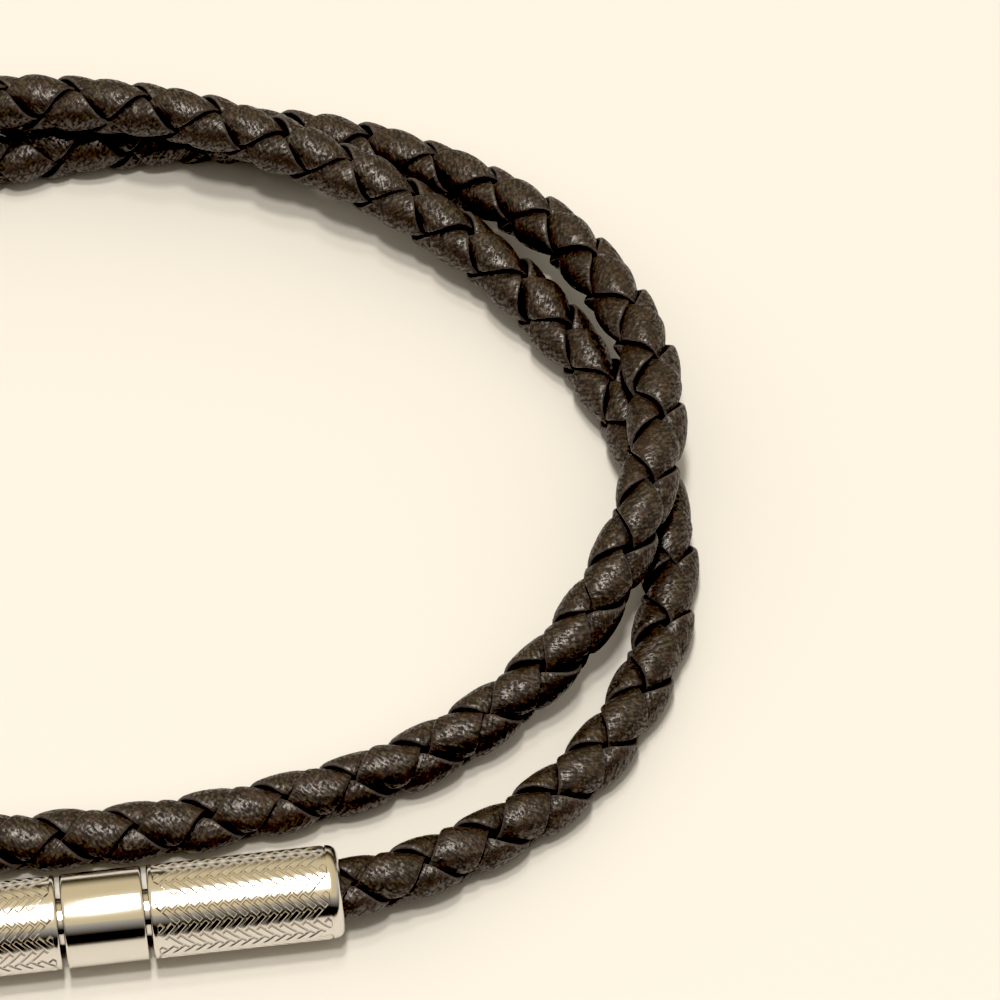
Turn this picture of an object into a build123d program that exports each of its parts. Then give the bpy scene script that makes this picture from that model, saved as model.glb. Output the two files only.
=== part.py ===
"""Double-wrap leather bracelet: a four-strand round braid that goes round the wrist twice and
ends in the two sleeves of a straight barrel clasp.

Millimetres, +Z up. The bracelet lies on a table at z = 0, with the clasp along X. The origin is
the middle of the outline on the table.
"""

import math
import os

from build123d import *

os.makedirs("parts", exist_ok=True)

# Clasp: two sleeves, a band between them, and a hidden core that joins the three
CLASP_DIAMETER = 6.0
SLEEVE_LENGTH = 12.2
BAND_LENGTH = 5.2
SEAM_GAP = 0.3
RIM_ROUNDING = 0.7
SEAM_ROUNDING = 0.2
CORD_BORE_DIAMETER = 4.3
CORD_BORE_DEPTH = 7.0
CORD_BORE_MOUTH = 0.1
CORE_DIAMETER = 3.0
CORE_CLEARANCE = 0.1
CORE_SOCKET_DEPTH = 4.0
CORE_CHAMFER = 0.3

# Braid: four flat laces, two winding each way. They cross at every quarter of the pitch, where
# a lace is on the upper level, then on the lower one. Two sections hold it level at a crossing.
BRAID_PITCH = 9.63
BRAID_UPPER_RADIUS = 1.56
BRAID_LOWER_RADIUS = 0.48
BRAID_FACE_ANGLE = 12.0
BRAID_START = 0.4
LACE_HALF_WIDTH = 0.34  # of a quarter pitch
LACE_HALF_THICKNESS = 0.42
LEVEL_STRETCH = (-0.25, 0.25)  # of a quarter pitch, about a crossing

# A lace's section: place across its width, and height on its thickness, both from -1 to 1
LACE_SECTION = [
    (1.0, 0.0),
    (0.6, 1.0),
    (-0.6, 1.0),
    (-1.0, 0.0),
    (0.0, -1.0),
]

# Route of the cord's centreline: x from the clasp's middle, y from its axis, height
LOOP_MIDDLE_Y = 30.2
ROUTE = [
    (8.3, 0.0, 3.0),
    (12.0, 0.0, 3.0),
    (15.3, 0.1, 3.0),
    (20.9, 1.4, 2.4),
    (26.5, 3.7, 2.0),
    (31.4, 7.0, 2.0),
    (35.4, 11.5, 2.0),
    (38.1, 16.8, 2.0),
    (39.3, 22.6, 2.0),
    (38.9, 28.6, 2.0),
    (37.3, 34.4, 2.1),
    (34.5, 39.8, 2.6),
    (31.0, 44.7, 3.2),
    (26.8, 49.0, 3.9),
    (22.0, 52.6, 4.7),
    (16.9, 55.5, 5.4),
    (11.4, 57.9, 6.0),
    (0.4, 60.7, 5.9),
    (-11.1, 61.4, 5.0),
    (-22.1, 58.6, 4.6),
    (-31.6, 52.0, 4.8),
    (-37.7, 42.5, 5.3),
    (-39.7, 31.5, 6.0),
    (-37.3, 22.5, 5.8),
    (-31.1, 14.8, 4.2),
    (-20.6, 9.2, 2.6),
    (-9.1, 6.8, 2.0),
    (2.4, 6.3, 2.0),
    (8.1, 6.6, 2.0),
    (13.9, 7.4, 2.0),
    (19.8, 8.8, 2.1),
    (25.5, 11.2, 2.6),
    (30.4, 14.4, 3.5),
    (34.5, 18.7, 4.9),
    (37.6, 23.9, 6.0),
    (39.4, 29.7, 6.0),
    (39.6, 35.5, 5.5),
    (38.1, 41.3, 4.7),
    (35.2, 46.7, 3.9),
    (31.1, 51.1, 3.2),
    (26.3, 54.7, 2.6),
    (21.0, 57.2, 2.2),
    (15.1, 58.8, 2.0),
    (3.4, 59.4, 2.0),
    (-8.1, 58.2, 2.0),
    (-18.6, 54.2, 2.0),
    (-27.6, 47.6, 2.0),
    (-34.3, 39.0, 2.0),
    (-38.5, 29.0, 2.0),
    (-38.7, 19.0, 2.0),
    (-34.1, 9.8, 2.0),
    (-25.7, 3.6, 2.1),
    (-15.3, 0.1, 3.0),
    (-12.0, 0.0, 3.0),
    (-8.3, 0.0, 3.0),
]

UP = Vector(0, 0, 1)

clasp_radius = CLASP_DIAMETER / 2
core_radius = CORE_DIAMETER / 2
socket_radius = core_radius + CORE_CLEARANCE
clasp_axis = Axis((0, -LOOP_MIDDLE_Y, clasp_radius), (1, 0, 0))
clasp_plane = Plane(origin=(0, -LOOP_MIDDLE_Y, clasp_radius), x_dir=(1, 0, 0), z_dir=(0, -1, 0))
sleeve_start = BAND_LENGTH / 2 + SEAM_GAP
sleeve_end = sleeve_start + SLEEVE_LENGTH
quarter_pitch = BRAID_PITCH / 4


def sleeve_profile():
    """Half section of the right sleeve: a bore for the cord, a web, and a socket for the core."""
    bore_radius = CORD_BORE_DIAMETER / 2
    bore_floor = sleeve_end - CORD_BORE_DEPTH
    socket_floor = sleeve_start + CORE_SOCKET_DEPTH
    with BuildSketch(clasp_plane) as profile:
        with BuildLine():
            Polyline(
                (sleeve_start, socket_radius),
                (socket_floor, socket_radius),
                (socket_floor, 0),
                (bore_floor, 0),
                (bore_floor, bore_radius),
                (sleeve_end, bore_radius),
                (sleeve_end, clasp_radius),
                (sleeve_start, clasp_radius),
                close=True,
            )
        make_face()
        corners = profile.vertices().group_by(Axis.X)
        outer_corner = corners[-1].sort_by(Axis.Y)[-1]
        mouth_corner = corners[-1].sort_by(Axis.Y)[0]
        seam_corner = corners[0].sort_by(Axis.Y)[-1]
        fillet(outer_corner, RIM_ROUNDING)
        fillet(mouth_corner, CORD_BORE_MOUTH)
        fillet(seam_corner, SEAM_ROUNDING)
    return profile.sketch


with BuildPart() as end_sleeve_right:
    add(sleeve_profile())
    revolve(axis=clasp_axis)
end_sleeve_right.part.label = "end_sleeve_right"
export_step(end_sleeve_right.part, "parts/end_sleeve_right.step")

with BuildPart() as end_sleeve_left:
    mirror(end_sleeve_right.part, about=Plane.YZ)
end_sleeve_left.part.label = "end_sleeve_left"
export_step(end_sleeve_left.part, "parts/end_sleeve_left.step")

with BuildPart() as centre_band:
    with BuildSketch(clasp_plane) as band_profile:
        with Locations((0, (clasp_radius + socket_radius) / 2)):
            Rectangle(BAND_LENGTH, clasp_radius - socket_radius)
        fillet(band_profile.vertices().group_by(Axis.Y)[-1], SEAM_ROUNDING)
    revolve(axis=clasp_axis)
centre_band.part.label = "centre_band"
export_step(centre_band.part, "parts/centre_band.step")

core_length = 2 * (sleeve_start + CORE_SOCKET_DEPTH - CORE_CLEARANCE)
with BuildPart() as clasp_core:
    with BuildSketch(clasp_plane) as core_profile:
        with Locations((0, core_radius / 2)):
            Rectangle(core_length, core_radius)
        chamfer(core_profile.vertices().group_by(Axis.Y)[-1], CORE_CHAMFER)
    revolve(axis=clasp_axis)
clasp_core.part.label = "clasp_core"
export_step(clasp_core.part, "parts/clasp_core.step")

with BuildLine() as cord_route:
    Spline(*[(x, y - LOOP_MIDDLE_Y, z) for x, y, z in ROUTE])
cord_line = cord_route.edge()
cord_length = cord_line.length


def cord_frame(distance):
    """Centre of the cord, with the directions up and outward across it, at a distance along it."""
    centre = cord_line.position_at(distance, PositionMode.LENGTH)
    ahead = cord_line.tangent_at(distance, PositionMode.LENGTH)
    upward = (UP - ahead * UP.dot(ahead)).normalized()
    return centre, upward, ahead.cross(upward)


def lace_point(crossing, step, hand, side, across, height):
    """Point of a lace's skin, near one crossing. Laces of hand -1 are on top at even crossings."""
    on_top = (crossing % 2 == 0) == (hand < 0)
    level = BRAID_UPPER_RADIUS if on_top else BRAID_LOWER_RADIUS
    radius = level + LACE_HALF_THICKNESS * height
    turn = crossing + step
    edge = LACE_HALF_WIDTH * across
    angle = math.radians(BRAID_FACE_ANGLE) + hand * (turn - edge) * math.pi / 2 + side
    centre, upward, outward = cord_frame(BRAID_START + quarter_pitch * (turn + edge))
    return centre + (upward * math.cos(angle) + outward * math.sin(angle)) * radius


def lace_solid(hand, side):
    """One lace from sleeve to sleeve, as a closed shell of triangles."""
    reach = LEVEL_STRETCH[-1] + LACE_HALF_WIDTH
    last_crossing = math.floor((cord_length - BRAID_START) / quarter_pitch - reach)
    rings = [
        [lace_point(crossing, step, hand, side, *corner) for corner in LACE_SECTION]
        for crossing in range(1, last_crossing + 1)
        for step in LEVEL_STRETCH
    ]
    corners = len(LACE_SECTION)
    triangles = []
    for ring, next_ring in zip(rings, rings[1:]):
        for i in range(corners):
            j = (i + 1) % corners
            triangles.append((ring[i], ring[j], next_ring[j]))
            triangles.append((ring[i], next_ring[j], next_ring[i]))
    for ring in (rings[0], rings[-1]):
        for i in range(1, corners - 1):
            triangles.append((ring[0], ring[i], ring[i + 1]))
    faces = [Face(Wire.make_polygon(triangle, close=True)) for triangle in triangles]
    return Solid(Shell(faces))


laces = [(-1, 0), (-1, math.pi), (1, 0), (1, math.pi)]
for number, (hand, side) in enumerate(laces, start=1):
    with BuildPart() as braid_strand:
        add(lace_solid(hand, side))
    braid_strand.part.label = f"braid_strand_{number}"
    export_step(braid_strand.part, f"parts/braid_strand_{number}.step")

print("length of the cord's centreline, sleeve floor to sleeve floor:", round(cord_length, 1))
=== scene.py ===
import math

import bmesh
import bpy
import numpy as np
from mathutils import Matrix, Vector


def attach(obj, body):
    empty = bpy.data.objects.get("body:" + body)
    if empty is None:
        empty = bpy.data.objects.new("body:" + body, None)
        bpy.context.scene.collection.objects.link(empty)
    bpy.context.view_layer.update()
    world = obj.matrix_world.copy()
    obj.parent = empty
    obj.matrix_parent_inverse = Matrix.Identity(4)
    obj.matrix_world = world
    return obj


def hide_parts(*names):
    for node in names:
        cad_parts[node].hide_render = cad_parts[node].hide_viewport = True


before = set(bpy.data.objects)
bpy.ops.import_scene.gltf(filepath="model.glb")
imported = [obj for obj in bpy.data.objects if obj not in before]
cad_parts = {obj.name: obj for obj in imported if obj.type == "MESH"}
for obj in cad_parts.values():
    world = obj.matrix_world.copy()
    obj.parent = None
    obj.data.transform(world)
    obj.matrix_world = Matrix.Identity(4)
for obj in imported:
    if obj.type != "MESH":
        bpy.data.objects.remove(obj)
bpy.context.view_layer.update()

# Braid. The cord is plaited from four flat laces of dark brown leather, two winding each way, each
# over one and under one. It goes round twice, one turn partly on the other, and both ends are glued
# into the clasp's sleeves.
MM = 0.001
LOOP_MIDDLE_Y = 30.2

# The cord's centreline: x from the clasp's middle, y from the clasp's axis, and height
CORD_ROUTE = [
    (8.3, 0.0, 3.0),
    (12.0, 0.0, 3.0),
    (15.3, 0.1, 3.0),
    (20.9, 1.4, 2.4),
    (26.5, 3.7, 2.0),
    (31.4, 7.0, 2.0),
    (35.4, 11.5, 2.0),
    (38.1, 16.8, 2.0),
    (39.3, 22.6, 2.0),
    (38.9, 28.6, 2.0),
    (37.3, 34.4, 2.1),
    (34.5, 39.8, 2.6),
    (31.0, 44.7, 3.2),
    (26.8, 49.0, 3.9),
    (22.0, 52.6, 4.7),
    (16.9, 55.5, 5.4),
    (11.4, 57.9, 6.0),
    (0.4, 60.7, 5.9),
    (-11.1, 61.4, 5.0),
    (-22.1, 58.6, 4.6),
    (-31.6, 52.0, 4.8),
    (-37.7, 42.5, 5.3),
    (-39.7, 31.5, 6.0),
    (-37.3, 22.5, 5.8),
    (-31.1, 14.8, 4.2),
    (-20.6, 9.2, 2.6),
    (-9.1, 6.8, 2.0),
    (2.4, 6.3, 2.0),
    (8.1, 6.6, 2.0),
    (13.9, 7.4, 2.0),
    (19.8, 8.8, 2.1),
    (25.5, 11.2, 2.6),
    (30.4, 14.4, 3.5),
    (34.5, 18.7, 4.9),
    (37.6, 23.9, 6.0),
    (39.4, 29.7, 6.0),
    (39.6, 35.5, 5.5),
    (38.1, 41.3, 4.7),
    (35.2, 46.7, 3.9),
    (31.1, 51.1, 3.2),
    (26.3, 54.7, 2.6),
    (21.0, 57.2, 2.2),
    (15.1, 58.8, 2.0),
    (3.4, 59.4, 2.0),
    (-8.1, 58.2, 2.0),
    (-18.6, 54.2, 2.0),
    (-27.6, 47.6, 2.0),
    (-34.3, 39.0, 2.0),
    (-38.5, 29.0, 2.0),
    (-38.7, 19.0, 2.0),
    (-34.1, 9.8, 2.0),
    (-25.7, 3.6, 2.1),
    (-15.3, 0.1, 3.0),
    (-12.0, 0.0, 3.0),
    (-8.3, 0.0, 3.0),
]
LINE_STEPS = 12000

BRAID_PITCH = 9.63
BRAID_START = 0.4
BRAID_FACE_ANGLE = math.radians(12)
BRAID_MIDDLE_RADIUS = 1.0
BRAID_RISE = 0.48
BRAID_FLATNESS = 0.25
UNEVEN_LEVEL = 0.035
UNEVEN_WIDTH = 0.055
UNEVEN_PLACE = 0.03  # of a quarter pitch
UNEVEN_TILT = 0.08
UNEVEN_SPACING = 1.0  # of a quarter pitch, from one change to the next
UNEVEN_PLACE_SPACING = 1.3
LACE_HALF_WIDTH = 0.435  # of a quarter pitch
# Lift at which a diving lace starts to get painted shade, and lift where it is fully dark
DIVE_START = 0.1
DIVE_END = -0.5
SECTIONS_PER_CROSSING = 12
LACE_ENDS = 0.6  # of a quarter pitch, kept back from the floors of the sleeves

# Half of a lace's section: place across its half width, height above its middle, how much painted
# reflection lies on that place of its edge, and how much painted shade darkens it down in the crease
LACE_HALF_SECTION = [
    (0.0, 0.5, 0.0, 0.0),
    (0.35, 0.5, 0.0, 0.0),
    (0.65, 0.485, 0.0, 0.0),
    (0.86, 0.455, 0.0, 0.0),
    (0.94, 0.425, 0.2, 0.0),
    (0.985, 0.365, 1.0, 0.0),
    (1.0, 0.28, 1.0, 0.0),
    (1.0, 0.16, 0.0, 1.0),
    (0.97, -0.15, 0.0, 1.0),
    (0.6, -0.3, 0.0, 1.0),
    (0.0, -0.38, 0.0, 1.0),
]


def line_through(points):
    """Close points on the smooth curve through a route, worked out as a cubic on its chord lengths."""
    knots = np.concatenate([[0], np.cumsum(np.linalg.norm(np.diff(points, axis=0), axis=1))])
    spans = np.diff(knots)
    chords = np.diff(points, axis=0) / spans[:, None]
    count = len(points)
    weights = np.zeros((count, count))
    right_side = np.zeros((count, 3))
    weights[0, :2] = (2, 1)
    weights[-1, -2:] = (1, 2)
    right_side[0] = 3 * chords[0]
    right_side[-1] = 3 * chords[-1]
    for i in range(1, count - 1):
        weights[i, i - 1 : i + 2] = (spans[i], 2 * (spans[i - 1] + spans[i]), spans[i - 1])
        right_side[i] = 3 * (spans[i] * chords[i - 1] + spans[i - 1] * chords[i])
    slopes = np.linalg.solve(weights, right_side)
    places = np.linspace(0, knots[-1], LINE_STEPS)
    span = np.clip(np.searchsorted(knots, places, side="right") - 1, 0, count - 2)
    length = spans[span][:, None]
    t = (places[:, None] - knots[span][:, None]) / length
    line = points[span] * (2 * t**3 - 3 * t**2 + 1)
    line += points[span + 1] * (3 * t**2 - 2 * t**3)
    line += slopes[span] * length * (t**3 - 2 * t**2 + t)
    line += slopes[span + 1] * length * (t**3 - t**2)
    return line


cord_line = line_through(np.array([(x, y - LOOP_MIDDLE_Y, z) for x, y, z in CORD_ROUTE]))
cord_steps = np.linalg.norm(np.diff(cord_line, axis=0), axis=1)
cord_distances = np.concatenate([[0], np.cumsum(cord_steps)])
cord_ahead = np.gradient(cord_line, cord_distances, axis=0)
cord_length = cord_distances[-1]
quarter_pitch = BRAID_PITCH / 4


def unit(vectors):
    """Vectors at length one."""
    return vectors / np.linalg.norm(vectors, axis=-1, keepdims=True)


def cord_frame(distances):
    """Centre of the cord, with the directions up and outward across it, at distances along it."""
    centre = np.stack([np.interp(distances, cord_distances, c) for c in cord_line.T], -1)
    ahead = unit(np.stack([np.interp(distances, cord_distances, c) for c in cord_ahead.T], -1))
    up = np.array([0.0, 0.0, 1.0])
    upward = unit(up - ahead * (ahead @ up)[..., None])
    return centre, upward, np.cross(ahead, upward)


def uneven(turns, spacing, amount, random):
    """A value that wanders by about this amount along a lace, as hand-cut leather does."""
    knots = np.arange(turns[0] - spacing, turns[-1] + 2 * spacing, spacing)
    return np.interp(turns, knots, random.normal(0, amount, len(knots)))


def lace_section():
    """A lace's whole section, round from its middle: places across, heights, painted edge reflection and
    painted crease shade.
    """
    right = LACE_HALF_SECTION
    left = [(-across, *rest) for across, *rest in right[-2:0:-1]]
    return np.array(right + left).T


def lace_rings(hand, side, random):
    """The lace's sections, one after the other. Laces of hand -1 are on top at even crossings."""
    last_turn = (cord_length - BRAID_START) / quarter_pitch - LACE_ENDS
    turns = np.arange(LACE_ENDS, last_turn, 1 / SECTIONS_PER_CROSSING)
    across, height, reflection_across, crease_shade = lace_section()
    lift = -hand * np.cos(math.pi * turns)
    lift = lift * (1 + BRAID_FLATNESS * (1 - lift**2))
    level = BRAID_MIDDLE_RADIUS + BRAID_RISE * lift + uneven(turns, UNEVEN_SPACING, UNEVEN_LEVEL, random)
    width = LACE_HALF_WIDTH * (1 + uneven(turns, UNEVEN_SPACING, UNEVEN_WIDTH, random))
    sideways = uneven(turns, UNEVEN_PLACE_SPACING, UNEVEN_PLACE, random)
    tilt = uneven(turns, UNEVEN_SPACING, UNEVEN_TILT, random)
    edge = width[:, None] * across[None, :] + sideways[:, None]
    radius = level[:, None] + height[None, :] + tilt[:, None] * across[None, :]
    angle = BRAID_FACE_ANGLE + hand * (turns[:, None] - edge) * math.pi / 2 + side
    centre, upward, outward = cord_frame(BRAID_START + quarter_pitch * (turns[:, None] + edge))
    points = upward * np.cos(angle)[..., None] + outward * np.sin(angle)[..., None]
    # Painted shade where the lace dives under the crossing laces, and no painted edge reflection there
    dive = np.clip((DIVE_START - lift) / (DIVE_START - DIVE_END), 0, 1)
    crease_shade = np.maximum(crease_shade[None, :], dive[:, None])
    edge_reflection = reflection_across[None, :] * (1 - dive[:, None])
    return centre + points * radius[..., None], crease_shade.ravel(), edge_reflection.ravel()


def tube_mesh(name, rings):
    """A closed skin over rings of points, with a map in metres: along the piece and around it."""
    count, corners = rings.shape[:2]
    ring = np.arange(corners)
    start = np.arange(count - 1)[:, None] * corners
    after = (ring + 1) % corners
    quads = np.stack([start + ring, start + after, start + corners + after, start + corners + ring], -1)
    caps = [ring[::-1].tolist(), (ring + (count - 1) * corners).tolist()]
    mesh = bpy.data.meshes.new(name)
    mesh.from_pydata((rings.reshape(-1, 3) * MM).tolist(), [], quads.reshape(-1, 4).tolist() + caps)
    along = np.linalg.norm(np.diff(rings.mean(axis=1), axis=0), axis=1)
    along = np.concatenate([[0], np.cumsum(along)]) * MM
    girth = np.linalg.norm(np.diff(rings[0], axis=0, append=rings[0][:1]), axis=1)
    girth = np.concatenate([[0], np.cumsum(girth)]) * MM
    rows = np.arange(count - 1)[:, None] + np.zeros_like(ring)[None, :]
    columns = ring[None, :] + np.zeros_like(rows)
    u = np.stack([along[rows], along[rows], along[rows + 1], along[rows + 1]], -1)
    v = np.stack([girth[columns], girth[columns + 1], girth[columns + 1], girth[columns]], -1)
    places = np.zeros((len(mesh.loops), 2))
    places[: u.size] = np.stack([u.ravel(), v.ravel()], -1)
    mesh.uv_layers.new(name="Lengthwise").data.foreach_set("uv", places.ravel())
    mesh.polygons.foreach_set("use_smooth", [True] * len(mesh.polygons))
    mesh.update()
    return mesh


LEATHER_BROWN = (0.0035, 0.0022, 0.0018, 1)
LEATHER_RED_BROWN = (0.034, 0.0145, 0.0105, 1)
# Paler grain tops: rubbed wear, painted paler also as highlight flecks
LEATHER_RUBBED_HIGHLIGHT = (0.07, 0.055, 0.034, 1)
# Painted shade: the near-black colour in the creases, under the laces and where they dive
LEATHER_CREASE_SHADE = (0.0015, 0.0012, 0.001, 1)
# Painted reflection: a light grey line along the laces' upper edges
LEATHER_EDGE_REFLECTION = (0.075, 0.062, 0.056, 1)
LEATHER_SPECULAR_LEVEL = 1.0
LEATHER_SHEEN_TINT = (1.0, 0.96, 0.94, 1)
LEATHER_ROUGHNESS = (0.8, 0.36)  # in the grain and on its tops
CREASE_ROUGHNESS = 0.85
GRAIN_CONTRAST = (0.92, 1.03)
# Where the grain is painted paler, for rubbed tops and painted highlight flecks
RUBBED_HIGHLIGHT_GRAIN = (0.99, 1.2)
PATCH_SCALE = 1400
PATCH_DETAIL = 4
PATCH_ROUGHNESS = 0.65
PATCH_EDGES = (0.42, 0.68)
PEBBLE_SIZE = 0.0002
PEBBLE_DETAIL = 3
PEBBLE_HEIGHT = 0.000045
WRINKLE_SIZE = 0.0007
WRINKLE_DETAIL = 1
WRINKLE_HEIGHT = 0.00014
STREAK_SIZES = (0.00016, 0.0005)  # along a lace and across it
STREAK_DETAIL = 2
STREAK_HEIGHT = 0.000035


def noise(tree, place, scale, detail, roughness=0.5):
    """A noise laid on a map in metres."""
    texture = tree.nodes.new("ShaderNodeTexNoise")
    texture.inputs["Scale"].default_value = scale
    texture.inputs["Detail"].default_value = detail
    texture.inputs["Roughness"].default_value = roughness
    tree.links.new(place, texture.inputs["Vector"])
    return texture.outputs["Fac"]


def mapped(tree, value, limits, results=(0, 1)):
    """A value taken from one range to another, and held at its ends."""
    spread = tree.nodes.new("ShaderNodeMapRange")
    spread.inputs["From Min"].default_value = limits[0]
    spread.inputs["From Max"].default_value = limits[1]
    spread.inputs["To Min"].default_value = results[0]
    spread.inputs["To Max"].default_value = results[1]
    tree.links.new(value, spread.inputs["Value"])
    return spread.outputs["Result"]


def laid_over(tree, share, under, over):
    """A colour laid by a share over another, which is a colour too or what a node gives."""
    layer = tree.nodes.new("ShaderNodeMix")
    layer.data_type = "RGBA"
    layer.inputs["B"].default_value = over
    tree.links.new(share, layer.inputs["Factor"])
    if isinstance(under, tuple):
        layer.inputs["A"].default_value = under
    else:
        tree.links.new(under, layer.inputs["A"])
    return layer.outputs["Result"]


def point_value(tree, name):
    """A value that the mesh holds at its points."""
    reading = tree.nodes.new("ShaderNodeAttribute")
    reading.attribute_name = name
    return reading.outputs["Fac"]


def bump(tree, height, distance, under=None):
    """A relief on the surface, on top of the one under it."""
    relief = tree.nodes.new("ShaderNodeBump")
    relief.inputs["Distance"].default_value = distance
    tree.links.new(height, relief.inputs["Height"])
    if under is not None:
        tree.links.new(under, relief.inputs["Normal"])
    return relief.outputs["Normal"]


def leather_material(name):
    """Dyed leather: brown with redder patches, paler rubbed grain tops that also stand in as painted
    highlight flecks, a painted reflection along the edges, and painted shade, black, in the creases.
    """
    material = bpy.data.materials.new(name)
    material.use_nodes = True
    tree = material.node_tree
    surface = tree.nodes["Principled BSDF"]
    surface.inputs["Specular IOR Level"].default_value = LEATHER_SPECULAR_LEVEL
    surface.inputs["Specular Tint"].default_value = LEATHER_SHEEN_TINT

    lengthwise = tree.nodes.new("ShaderNodeUVMap")
    lengthwise.uv_map = "Lengthwise"
    place = lengthwise.outputs["UV"]
    stretch = tree.nodes.new("ShaderNodeMapping")
    stretch.inputs["Scale"].default_value = (1 / STREAK_SIZES[0], 1 / STREAK_SIZES[1], 1)
    tree.links.new(place, stretch.inputs["Vector"])
    patches = noise(tree, place, PATCH_SCALE, PATCH_DETAIL, PATCH_ROUGHNESS)
    wrinkles = noise(tree, place, 1 / WRINKLE_SIZE, WRINKLE_DETAIL)
    pebbles = noise(tree, place, 1 / PEBBLE_SIZE, PEBBLE_DETAIL)
    streaks = noise(tree, stretch.outputs["Vector"], 1, STREAK_DETAIL)
    grain_sum = tree.nodes.new("ShaderNodeMath")
    tree.links.new(pebbles, grain_sum.inputs[0])
    tree.links.new(streaks, grain_sum.inputs[1])
    grain = grain_sum.outputs["Value"]
    crease_shade = point_value(tree, "crease_shade")

    colour = laid_over(tree, mapped(tree, patches, PATCH_EDGES), LEATHER_BROWN, LEATHER_RED_BROWN)
    # Paler rubbed grain tops, painted also as highlight flecks
    colour = laid_over(tree, mapped(tree, grain, RUBBED_HIGHLIGHT_GRAIN), colour, LEATHER_RUBBED_HIGHLIGHT)
    # Painted shade: near black in the creases, on the lace's underside and where it dives
    colour = laid_over(tree, crease_shade, colour, LEATHER_CREASE_SHADE)
    # Painted reflection: a light grey line along the lace's upper edges
    colour = laid_over(tree, point_value(tree, "painted_edge_reflection"), colour, LEATHER_EDGE_REFLECTION)
    tree.links.new(colour, surface.inputs["Base Color"])

    roughness = tree.nodes.new("ShaderNodeMix")
    roughness.inputs["B"].default_value = CREASE_ROUGHNESS
    tree.links.new(mapped(tree, grain, GRAIN_CONTRAST, LEATHER_ROUGHNESS), roughness.inputs["A"])
    tree.links.new(crease_shade, roughness.inputs["Factor"])
    tree.links.new(roughness.outputs["Result"], surface.inputs["Roughness"])

    relief = bump(tree, wrinkles, WRINKLE_HEIGHT)
    relief = bump(tree, pebbles, PEBBLE_HEIGHT, relief)
    relief = bump(tree, streaks, STREAK_HEIGHT, relief)
    tree.links.new(relief, surface.inputs["Normal"])
    return material


leather = leather_material("dark_brown_leather")
LACES = [
    (-1, 0),
    (-1, math.pi),
    (1, 0),
    (1, math.pi),
]
for number, (hand, side) in enumerate(LACES, start=1):
    rings, crease_shades, edge_reflections = lace_rings(hand, side, np.random.default_rng(number))
    mesh = tube_mesh(f"leather_lace_{number}", rings)
    # Painted crease shade and painted edge reflection, held at the lace's points
    mesh.attributes.new("crease_shade", "FLOAT", "POINT").data.foreach_set("value", crease_shades)
    mesh.attributes.new("painted_edge_reflection", "FLOAT", "POINT").data.foreach_set("value", edge_reflections)
    mesh.materials.append(leather)
    lace = bpy.data.objects.new(f"leather_lace_{number}", mesh)
    bpy.context.collection.objects.link(lace)
    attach(lace, "root")
    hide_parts(f"braid_strand_{number}")

# Clasp sleeves. Each is a turned steel tube, polished, with a herringbone relief rolled into its
# outside between a narrow collar at the seam and a smooth rounded rim. The cord's end is glued into
# the bore.
CLASP_RADIUS = 3.0
BAND_LENGTH = 5.2
SEAM_GAP = 0.3
SLEEVE_LENGTH = 12.2
RIM_ROUNDING = 0.7
SEAM_ROUNDING = 0.2
CORD_BORE_RADIUS = 2.15
CORD_BORE_DEPTH = 7.0
CORD_BORE_MOUTH = 0.1
CORE_SOCKET_RADIUS = 1.6
CORE_SOCKET_DEPTH = 4.0
RELIEF_MARGINS = (0.32, 0.78)  # from the sleeve's two ends
BLOCK_ROWS = 20
BLOCK_SPACING = 0.72
BLOCK_EDGE = 0.016
GROOVE_HALF_WIDTH = 0.1
GROOVE_FLOOR_HALF_WIDTH = 0.015
GROOVE_DEPTH = 0.12
BLOCK_ROOT = 0.03
SMALLEST_BLOCK = 0.02
SPARE_BLOCKS = (4, 2)  # laid past the two ends of the relief, where they are cut off
CUT_TOLERANCE = 1e-5
RELIEF_TURN = math.radians(-11)
TURNED_SIDES = 96
ARC_STEPS = 6
CREASE_ANGLE = math.radians(25)

sleeve_start = BAND_LENGTH / 2 + SEAM_GAP
sleeve_end = sleeve_start + SLEEVE_LENGTH
relief_start = sleeve_start + RELIEF_MARGINS[0]
relief_end = sleeve_end - RELIEF_MARGINS[1]
groove_radius = CLASP_RADIUS - GROOVE_DEPTH
block_width = BLOCK_SPACING / math.sqrt(2)
block_length = 2 * math.pi * CLASP_RADIUS / (BLOCK_ROWS / 2) / math.sqrt(2)


def arc(x, radius, size, start, end):
    """Points of a rounding, as places along the clasp and radii from its axis. Angles in degrees."""
    angles = np.radians(np.linspace(start, end, ARC_STEPS + 1))
    return [(x + size * math.cos(a), radius + size * math.sin(a)) for a in angles]


def around(flat):
    """Flat places (along the clasp, around it, height) laid on the clasp's outside."""
    x, girth, height = flat
    angle = girth / CLASP_RADIUS
    radius = CLASP_RADIUS + height
    return (x, radius * math.cos(angle) - LOOP_MIDDLE_Y, CLASP_RADIUS - radius * math.sin(angle))


def turned(bm, profile, closed):
    """Skin of a profile turned about the clasp's axis."""
    rings = []
    for x, radius in profile:
        if radius == 0:
            rings.append([bm.verts.new(around((x, 0, -CLASP_RADIUS)))] * TURNED_SIDES)
            continue
        girths = np.arange(TURNED_SIDES) * 2 * math.pi * CLASP_RADIUS / TURNED_SIDES
        rings.append([bm.verts.new(around((x, girth, radius - CLASP_RADIUS))) for girth in girths])
    pairs = list(zip(rings, rings[1:]))
    if closed:
        pairs.append((rings[-1], rings[0]))
    for ring, next_ring in pairs:
        for i in range(TURNED_SIDES):
            j = (i + 1) % TURNED_SIDES
            corners = []
            for corner in (ring[i], next_ring[i], next_ring[j], ring[j]):
                if corner not in corners:
                    corners.append(corner)
            if len(corners) > 2:
                bm.faces.new(corners)


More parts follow.
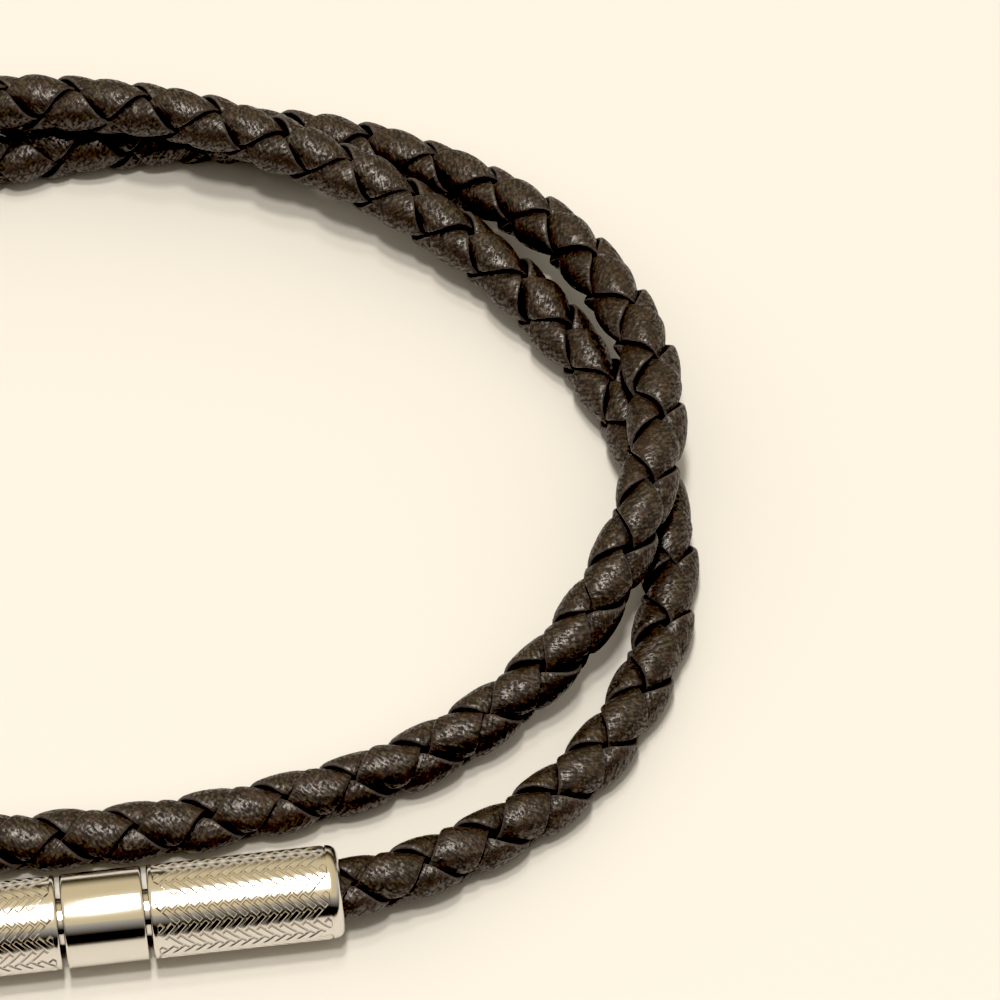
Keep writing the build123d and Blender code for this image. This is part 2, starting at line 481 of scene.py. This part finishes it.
def clipped(corners, limit, sign):
    """A convex outline without its part beyond a limit along the clasp."""
    kept = []
    for a, b in zip(corners, corners[1:] + corners[:1]):
        inside_a = (a.x - limit) * sign >= 0
        inside_b = (b.x - limit) * sign >= 0
        if inside_a:
            kept.append(a)
        if inside_a != inside_b:
            kept.append(a.lerp(b, (limit - a.x) / (b.x - a.x)))
    return kept


def area(corners):
    """Area of an outline, positive when it runs counterclockwise."""
    return sum(a.cross(b) for a, b in zip(corners, corners[1:] + corners[:1])) / 2


def inset(corners, margin):
    """A convex counterclockwise outline moved in by a margin, or nothing where it is too small."""
    moved = []
    for before, here, after in zip(corners[-1:] + corners[:-1], corners, corners[1:] + corners[:1]):
        into = (here - before).normalized()
        out_of = (after - here).normalized()
        lefts = Vector((-into.y, into.x)) + Vector((-out_of.y, out_of.x))
        moved.append(here + lefts * margin / (1 + into.dot(out_of)))
    sides = zip(corners, corners[1:] + corners[:1])
    moved_sides = zip(moved, moved[1:] + moved[:1])
    for (a, b), (c, d) in zip(sides, moved_sides):
        if (b - a).dot(d - c) <= 0:
            return []
    return moved


def block_outlines():
    """Outlines of the herringbone's blocks, each end against the side of the next, laid flat."""
    diagonal = math.sqrt(2)
    turned_by = RELIEF_TURN * CLASP_RADIUS
    outlines = []
    for row_pair in range(BLOCK_ROWS // 2):
        first = math.floor(relief_start / BLOCK_SPACING) - SPARE_BLOCKS[0]
        last = math.ceil(relief_end / BLOCK_SPACING) + SPARE_BLOCKS[1]
        for step in range(first, last):
            p = step * block_width + row_pair * block_length
            q = step * block_width - row_pair * block_length
            falling = (p, q, block_length, block_width)
            rising = (p + block_length, q + block_width - block_length, block_width, block_length)
            for left, low, width, height in (falling, rising):
                corners = [(left, low), (left + width, low)]
                corners += [(left + width, low + height), (left, low + height)]
                corners = [Vector(((a + b) / diagonal, (b - a) / diagonal + turned_by)) for a, b in corners]
                corners = clipped(corners, relief_start, 1)
                corners = clipped(corners, relief_end, -1) if corners else []
                if len(corners) > 2 and area(corners) > SMALLEST_BLOCK:
                    outlines.append(corners)
    return outlines


def raised_block(bm, outline):
    """A block of the relief laid flat: steep sides, a narrow bright edge and a level top."""
    levels = [
        (GROOVE_FLOOR_HALF_WIDTH, -GROOVE_DEPTH - BLOCK_ROOT),
        (GROOVE_HALF_WIDTH, -BLOCK_EDGE),
        (GROOVE_HALF_WIDTH + 2 * BLOCK_EDGE, 0.0),
    ]
    rings = []
    for margin, height in levels:
        corners = inset(outline, margin)
        if not corners:
            return
        rings.append([(corner.x, corner.y, height) for corner in corners])
    rings = [[bm.verts.new(corner) for corner in ring] for ring in rings]
    bm.faces.new(reversed(rings[0]))
    bm.faces.new(rings[-1])
    for lower, upper in zip(rings, rings[1:]):
        for i in range(len(lower)):
            j = (i + 1) % len(lower)
            bm.faces.new((lower[i], lower[j], upper[j], upper[i]))


def cut_across(bm):
    """Cuts flat blocks at each of the turned tube's sides, so that they bend with it."""
    spacing = 2 * math.pi * CLASP_RADIUS / TURNED_SIDES
    girths = [vertex.co.y for vertex in bm.verts]
    for line in range(math.ceil(min(girths) / spacing), math.floor(max(girths) / spacing) + 1):
        middle = line * spacing
        near = [face for face in bm.faces if any(abs(v.co.y - middle) < block_length for v in face.verts)]
        edges = list(dict.fromkeys(edge for face in near for edge in face.edges))
        vertices = list(dict.fromkeys(vertex for edge in edges for vertex in edge.verts))
        geometry = near + edges + vertices
        bmesh.ops.bisect_plane(
            bm, geom=geometry, plane_co=(0, middle, 0), plane_no=(0, 1, 0), dist=CUT_TOLERANCE
        )


def piece_from(bm, name, node, mirrored):
    """A piece of the clasp from a built skin, in metres, with smooth rounds and crisp edges."""
    bmesh.ops.recalc_face_normals(bm, faces=bm.faces)
    mesh = bpy.data.meshes.new(name)
    bm.to_mesh(mesh)
    bm.free()
    places = np.zeros(len(mesh.vertices) * 3)
    mesh.vertices.foreach_get("co", places)
    places = places.reshape(-1, 3) * MM
    if mirrored:
        places[:, 0] *= -1
        mesh.flip_normals()
    mesh.vertices.foreach_set("co", places.ravel())
    mesh.polygons.foreach_set("use_smooth", [True] * len(mesh.polygons))
    mesh.set_sharp_from_angle(angle=CREASE_ANGLE)
    mesh.update()
    mesh.materials.append(polished_steel)
    piece = bpy.data.objects.new(name, mesh)
    bpy.context.collection.objects.link(piece)
    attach(piece, "root")
    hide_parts(node)
    return piece


STEEL_COLOUR = (0.78, 0.75, 0.71, 1)
STEEL_ROUGHNESS = 0.16

polished_steel = bpy.data.materials.new("polished_steel")
polished_steel.use_nodes = True
steel_surface = polished_steel.node_tree.nodes["Principled BSDF"]
steel_surface.inputs["Base Color"].default_value = STEEL_COLOUR
steel_surface.inputs["Metallic"].default_value = 1
steel_surface.inputs["Roughness"].default_value = STEEL_ROUGHNESS

socket_floor = sleeve_start + CORE_SOCKET_DEPTH
bore_floor = sleeve_end - CORD_BORE_DEPTH
sleeve_profile = [(sleeve_start, CORE_SOCKET_RADIUS)]
sleeve_profile += [(socket_floor, CORE_SOCKET_RADIUS), (socket_floor, 0)]
sleeve_profile += [(bore_floor, 0), (bore_floor, CORD_BORE_RADIUS)]
mouth_x = sleeve_end - CORD_BORE_MOUTH
sleeve_profile += arc(mouth_x, CORD_BORE_RADIUS + CORD_BORE_MOUTH, CORD_BORE_MOUTH, -90, 0)
sleeve_profile += arc(sleeve_end - RIM_ROUNDING, CLASP_RADIUS - RIM_ROUNDING, RIM_ROUNDING, 0, 90)
sleeve_profile += [(relief_end, CLASP_RADIUS), (relief_end, groove_radius)]
sleeve_profile += [(relief_start, groove_radius), (relief_start, CLASP_RADIUS)]
sleeve_profile += arc(sleeve_start + SEAM_ROUNDING, CLASP_RADIUS - SEAM_ROUNDING, SEAM_ROUNDING, 90, 180)

for side_name, mirrored in (("right", False), ("left", True)):
    sleeve = bmesh.new()
    for outline in block_outlines():
        raised_block(sleeve, outline)
    cut_across(sleeve)
    for vertex in sleeve.verts:
        vertex.co = around(vertex.co)
    turned(sleeve, sleeve_profile, True)
    piece_from(sleeve, f"herringbone_sleeve_{side_name}", f"end_sleeve_{side_name}", mirrored)

# Band. A plain turned steel ring, polished bright, with its two edges rounded. It sits on the core
# between the sleeves.
band_profile = [(-BAND_LENGTH / 2, CORE_SOCKET_RADIUS), (BAND_LENGTH / 2, CORE_SOCKET_RADIUS)]
band_edge = BAND_LENGTH / 2 - SEAM_ROUNDING
band_profile += arc(band_edge, CLASP_RADIUS - SEAM_ROUNDING, SEAM_ROUNDING, 0, 90)
band_profile += arc(-band_edge, CLASP_RADIUS - SEAM_ROUNDING, SEAM_ROUNDING, 90, 180)
band = bmesh.new()
turned(band, band_profile, True)
piece_from(band, "plain_band", "centre_band", False)

# Core. The steel pin that holds the two sleeves together, out of sight in their sockets. Its solid
# from the CAD model is kept as it is.
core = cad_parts["clasp_core"]
core.data.materials.clear()
core.data.materials.append(polished_steel)

# Table. A plain cream top with a dull surface, much wider than the bracelet, which lies on it by
# its own weight.
TABLE_COLOUR = (0.824, 0.777, 0.69, 1)
TABLE_ROUGHNESS = 0.6
TABLE_HALF_WIDTH = 0.8

table_mesh = bpy.data.meshes.new("table_top")
w = TABLE_HALF_WIDTH
table_mesh.from_pydata([(-w, -w, 0), (w, -w, 0), (w, w, 0), (-w, w, 0)], [], [(0, 1, 2, 3)])
table_top = bpy.data.objects.new("table_top", table_mesh)
bpy.context.collection.objects.link(table_top)
cream = bpy.data.materials.new("cream_table")
cream.use_nodes = True
cream_surface = cream.node_tree.nodes["Principled BSDF"]
cream_surface.inputs["Base Color"].default_value = TABLE_COLOUR
cream_surface.inputs["Roughness"].default_value = TABLE_ROUGHNESS
table_mesh.materials.append(cream)

# Room. It is dark on the near side and pale on the far side. A warm ceiling there, dark at the foot
# of its wall, only shows in what is glossy.
ROOM_COLOUR = (0.6, 0.57, 0.52, 1)
ROOM_DARK = (0.02, 0.016, 0.012, 1)
DARK_SIDE_TOP = math.radians(44)
ROOM_TURN_TO_PALE = (-0.3, 0.25)
CEILING_COLOUR = (0.89, 0.75, 0.48, 1)
FAR_WALL_COLOUR = (0.07, 0.055, 0.025, 1)
FAR_WALL_ELEVATIONS = (8, 28)
CEILING_STRENGTH = 0.8
CEILING_DISTANCE = 1.6
CEILING_ELEVATIONS = (-1, 128)  # from the far side's horizon, over the top
CEILING_HALF_WIDTH = 2.5
CEILING_STEPS = 24
FAR_HEADING = Vector((0.123, 0.992, 0.0))

world = bpy.data.worlds.new("room")
bpy.context.scene.world = world
world.use_nodes = True
room_tree = world.node_tree
direction = room_tree.nodes.new("ShaderNodeTexCoord")
pale_side = FAR_HEADING * math.sin(DARK_SIDE_TOP) + Vector((0, 0, math.cos(DARK_SIDE_TOP)))
towards_pale = room_tree.nodes.new("ShaderNodeVectorMath")
towards_pale.operation = "DOT_PRODUCT"
towards_pale.inputs[1].default_value = pale_side
room_tree.links.new(direction.outputs["Generated"], towards_pale.inputs[0])
paleness = mapped(room_tree, towards_pale.outputs["Value"], ROOM_TURN_TO_PALE)
room_colour = laid_over(room_tree, paleness, ROOM_DARK, ROOM_COLOUR)
room_tree.links.new(room_colour, room_tree.nodes["Background"].inputs["Color"])

sideways = Vector((FAR_HEADING.y, -FAR_HEADING.x, 0.0))
ceiling_rows = []
for elevation in np.radians(np.linspace(*CEILING_ELEVATIONS, CEILING_STEPS)):
    middle = (FAR_HEADING * math.cos(elevation) + Vector((0, 0, math.sin(elevation)))) * CEILING_DISTANCE
    ceiling_rows += [middle - sideways * CEILING_HALF_WIDTH, middle + sideways * CEILING_HALF_WIDTH]
ceiling_faces = [(i, i + 1, i + 3, i + 2) for i in range(0, 2 * CEILING_STEPS - 2, 2)]
ceiling_mesh = bpy.data.meshes.new("warm_ceiling")
ceiling_mesh.from_pydata(ceiling_rows, [], ceiling_faces)
ceiling = bpy.data.objects.new("warm_ceiling", ceiling_mesh)
bpy.context.collection.objects.link(ceiling)
glow = bpy.data.materials.new("ceiling_glow")
glow.use_nodes = True
glow_tree = glow.node_tree
glow_surface = glow_tree.nodes["Principled BSDF"]
glow_surface.inputs["Base Color"].default_value = (0, 0, 0, 1)
glow_place = glow_tree.nodes.new("ShaderNodeTexCoord")
glow_height = glow_tree.nodes.new("ShaderNodeSeparateXYZ")
glow_tree.links.new(glow_place.outputs["Object"], glow_height.inputs["Vector"])
wall_heights = [CEILING_DISTANCE * math.sin(math.radians(angle)) for angle in FAR_WALL_ELEVATIONS]
above_wall = mapped(glow_tree, glow_height.outputs["Z"], wall_heights)
glow_colour = laid_over(glow_tree, above_wall, FAR_WALL_COLOUR, CEILING_COLOUR)
glow_tree.links.new(glow_colour, glow_surface.inputs["Emission Color"])
glow_surface.inputs["Emission Strength"].default_value = CEILING_STRENGTH
ceiling_mesh.materials.append(glow)
ceiling.visible_camera = False
ceiling.visible_diffuse = False
ceiling.visible_shadow = False

# Lamps. Three round ones almost overhead, which give the shadows their steps.
LAMP_DISTANCE = 1.0
LAMPS = [
    ("near_lamp", -9, 0.11, 3.1),
    ("middle_lamp", 3.5, 0.11, 2.85),
    ("far_lamp", 15, 0.12, 0.9),
]
LAMP_COLOUR = (1.0, 0.98, 0.95)
for name, lean, size, power in LAMPS:
    light = bpy.data.lights.new(name, "AREA")
    light.shape = "DISK"
    light.size = size
    light.energy = power
    light.color = LAMP_COLOUR
    lamp = bpy.data.objects.new(name, light)
    bpy.context.collection.objects.link(lamp)
    away = FAR_HEADING * math.sin(math.radians(lean)) + Vector((0, 0, math.cos(math.radians(lean))))
    lamp.location = away * LAMP_DISTANCE
    lamp.rotation_euler = away.to_track_quat("Z", "Y").to_euler()
    lamp.visible_camera = False

# Camera, about 60 degrees above the table and far enough to look nearly without perspective.
CAMERA_PLACE = Vector((0.0067, -0.1799, 0.31177))
CAMERA_TARGET = Vector((0.02886, -0.00126, 0.0))
CAMERA_LENS = 193.75
SENSOR_WIDTH = 36
BLACK_POINT = (0.034, 0.032, 0.028)  # light that the picture already shows as black

view = bpy.data.cameras.new("camera")
view.lens = CAMERA_LENS
view.sensor_width = SENSOR_WIDTH
camera = bpy.data.objects.new("camera", view)
bpy.context.collection.objects.link(camera)
camera.location = CAMERA_PLACE
camera.rotation_euler = (CAMERA_TARGET - CAMERA_PLACE).to_track_quat("-Z", "Y").to_euler()
bpy.context.scene.camera = camera
bpy.context.scene.view_settings.view_transform = "Standard"
bpy.context.scene.view_settings.use_curve_mapping = True
tone = bpy.context.scene.view_settings.curve_mapping
tone.black_level = BLACK_POINT
tone.update()
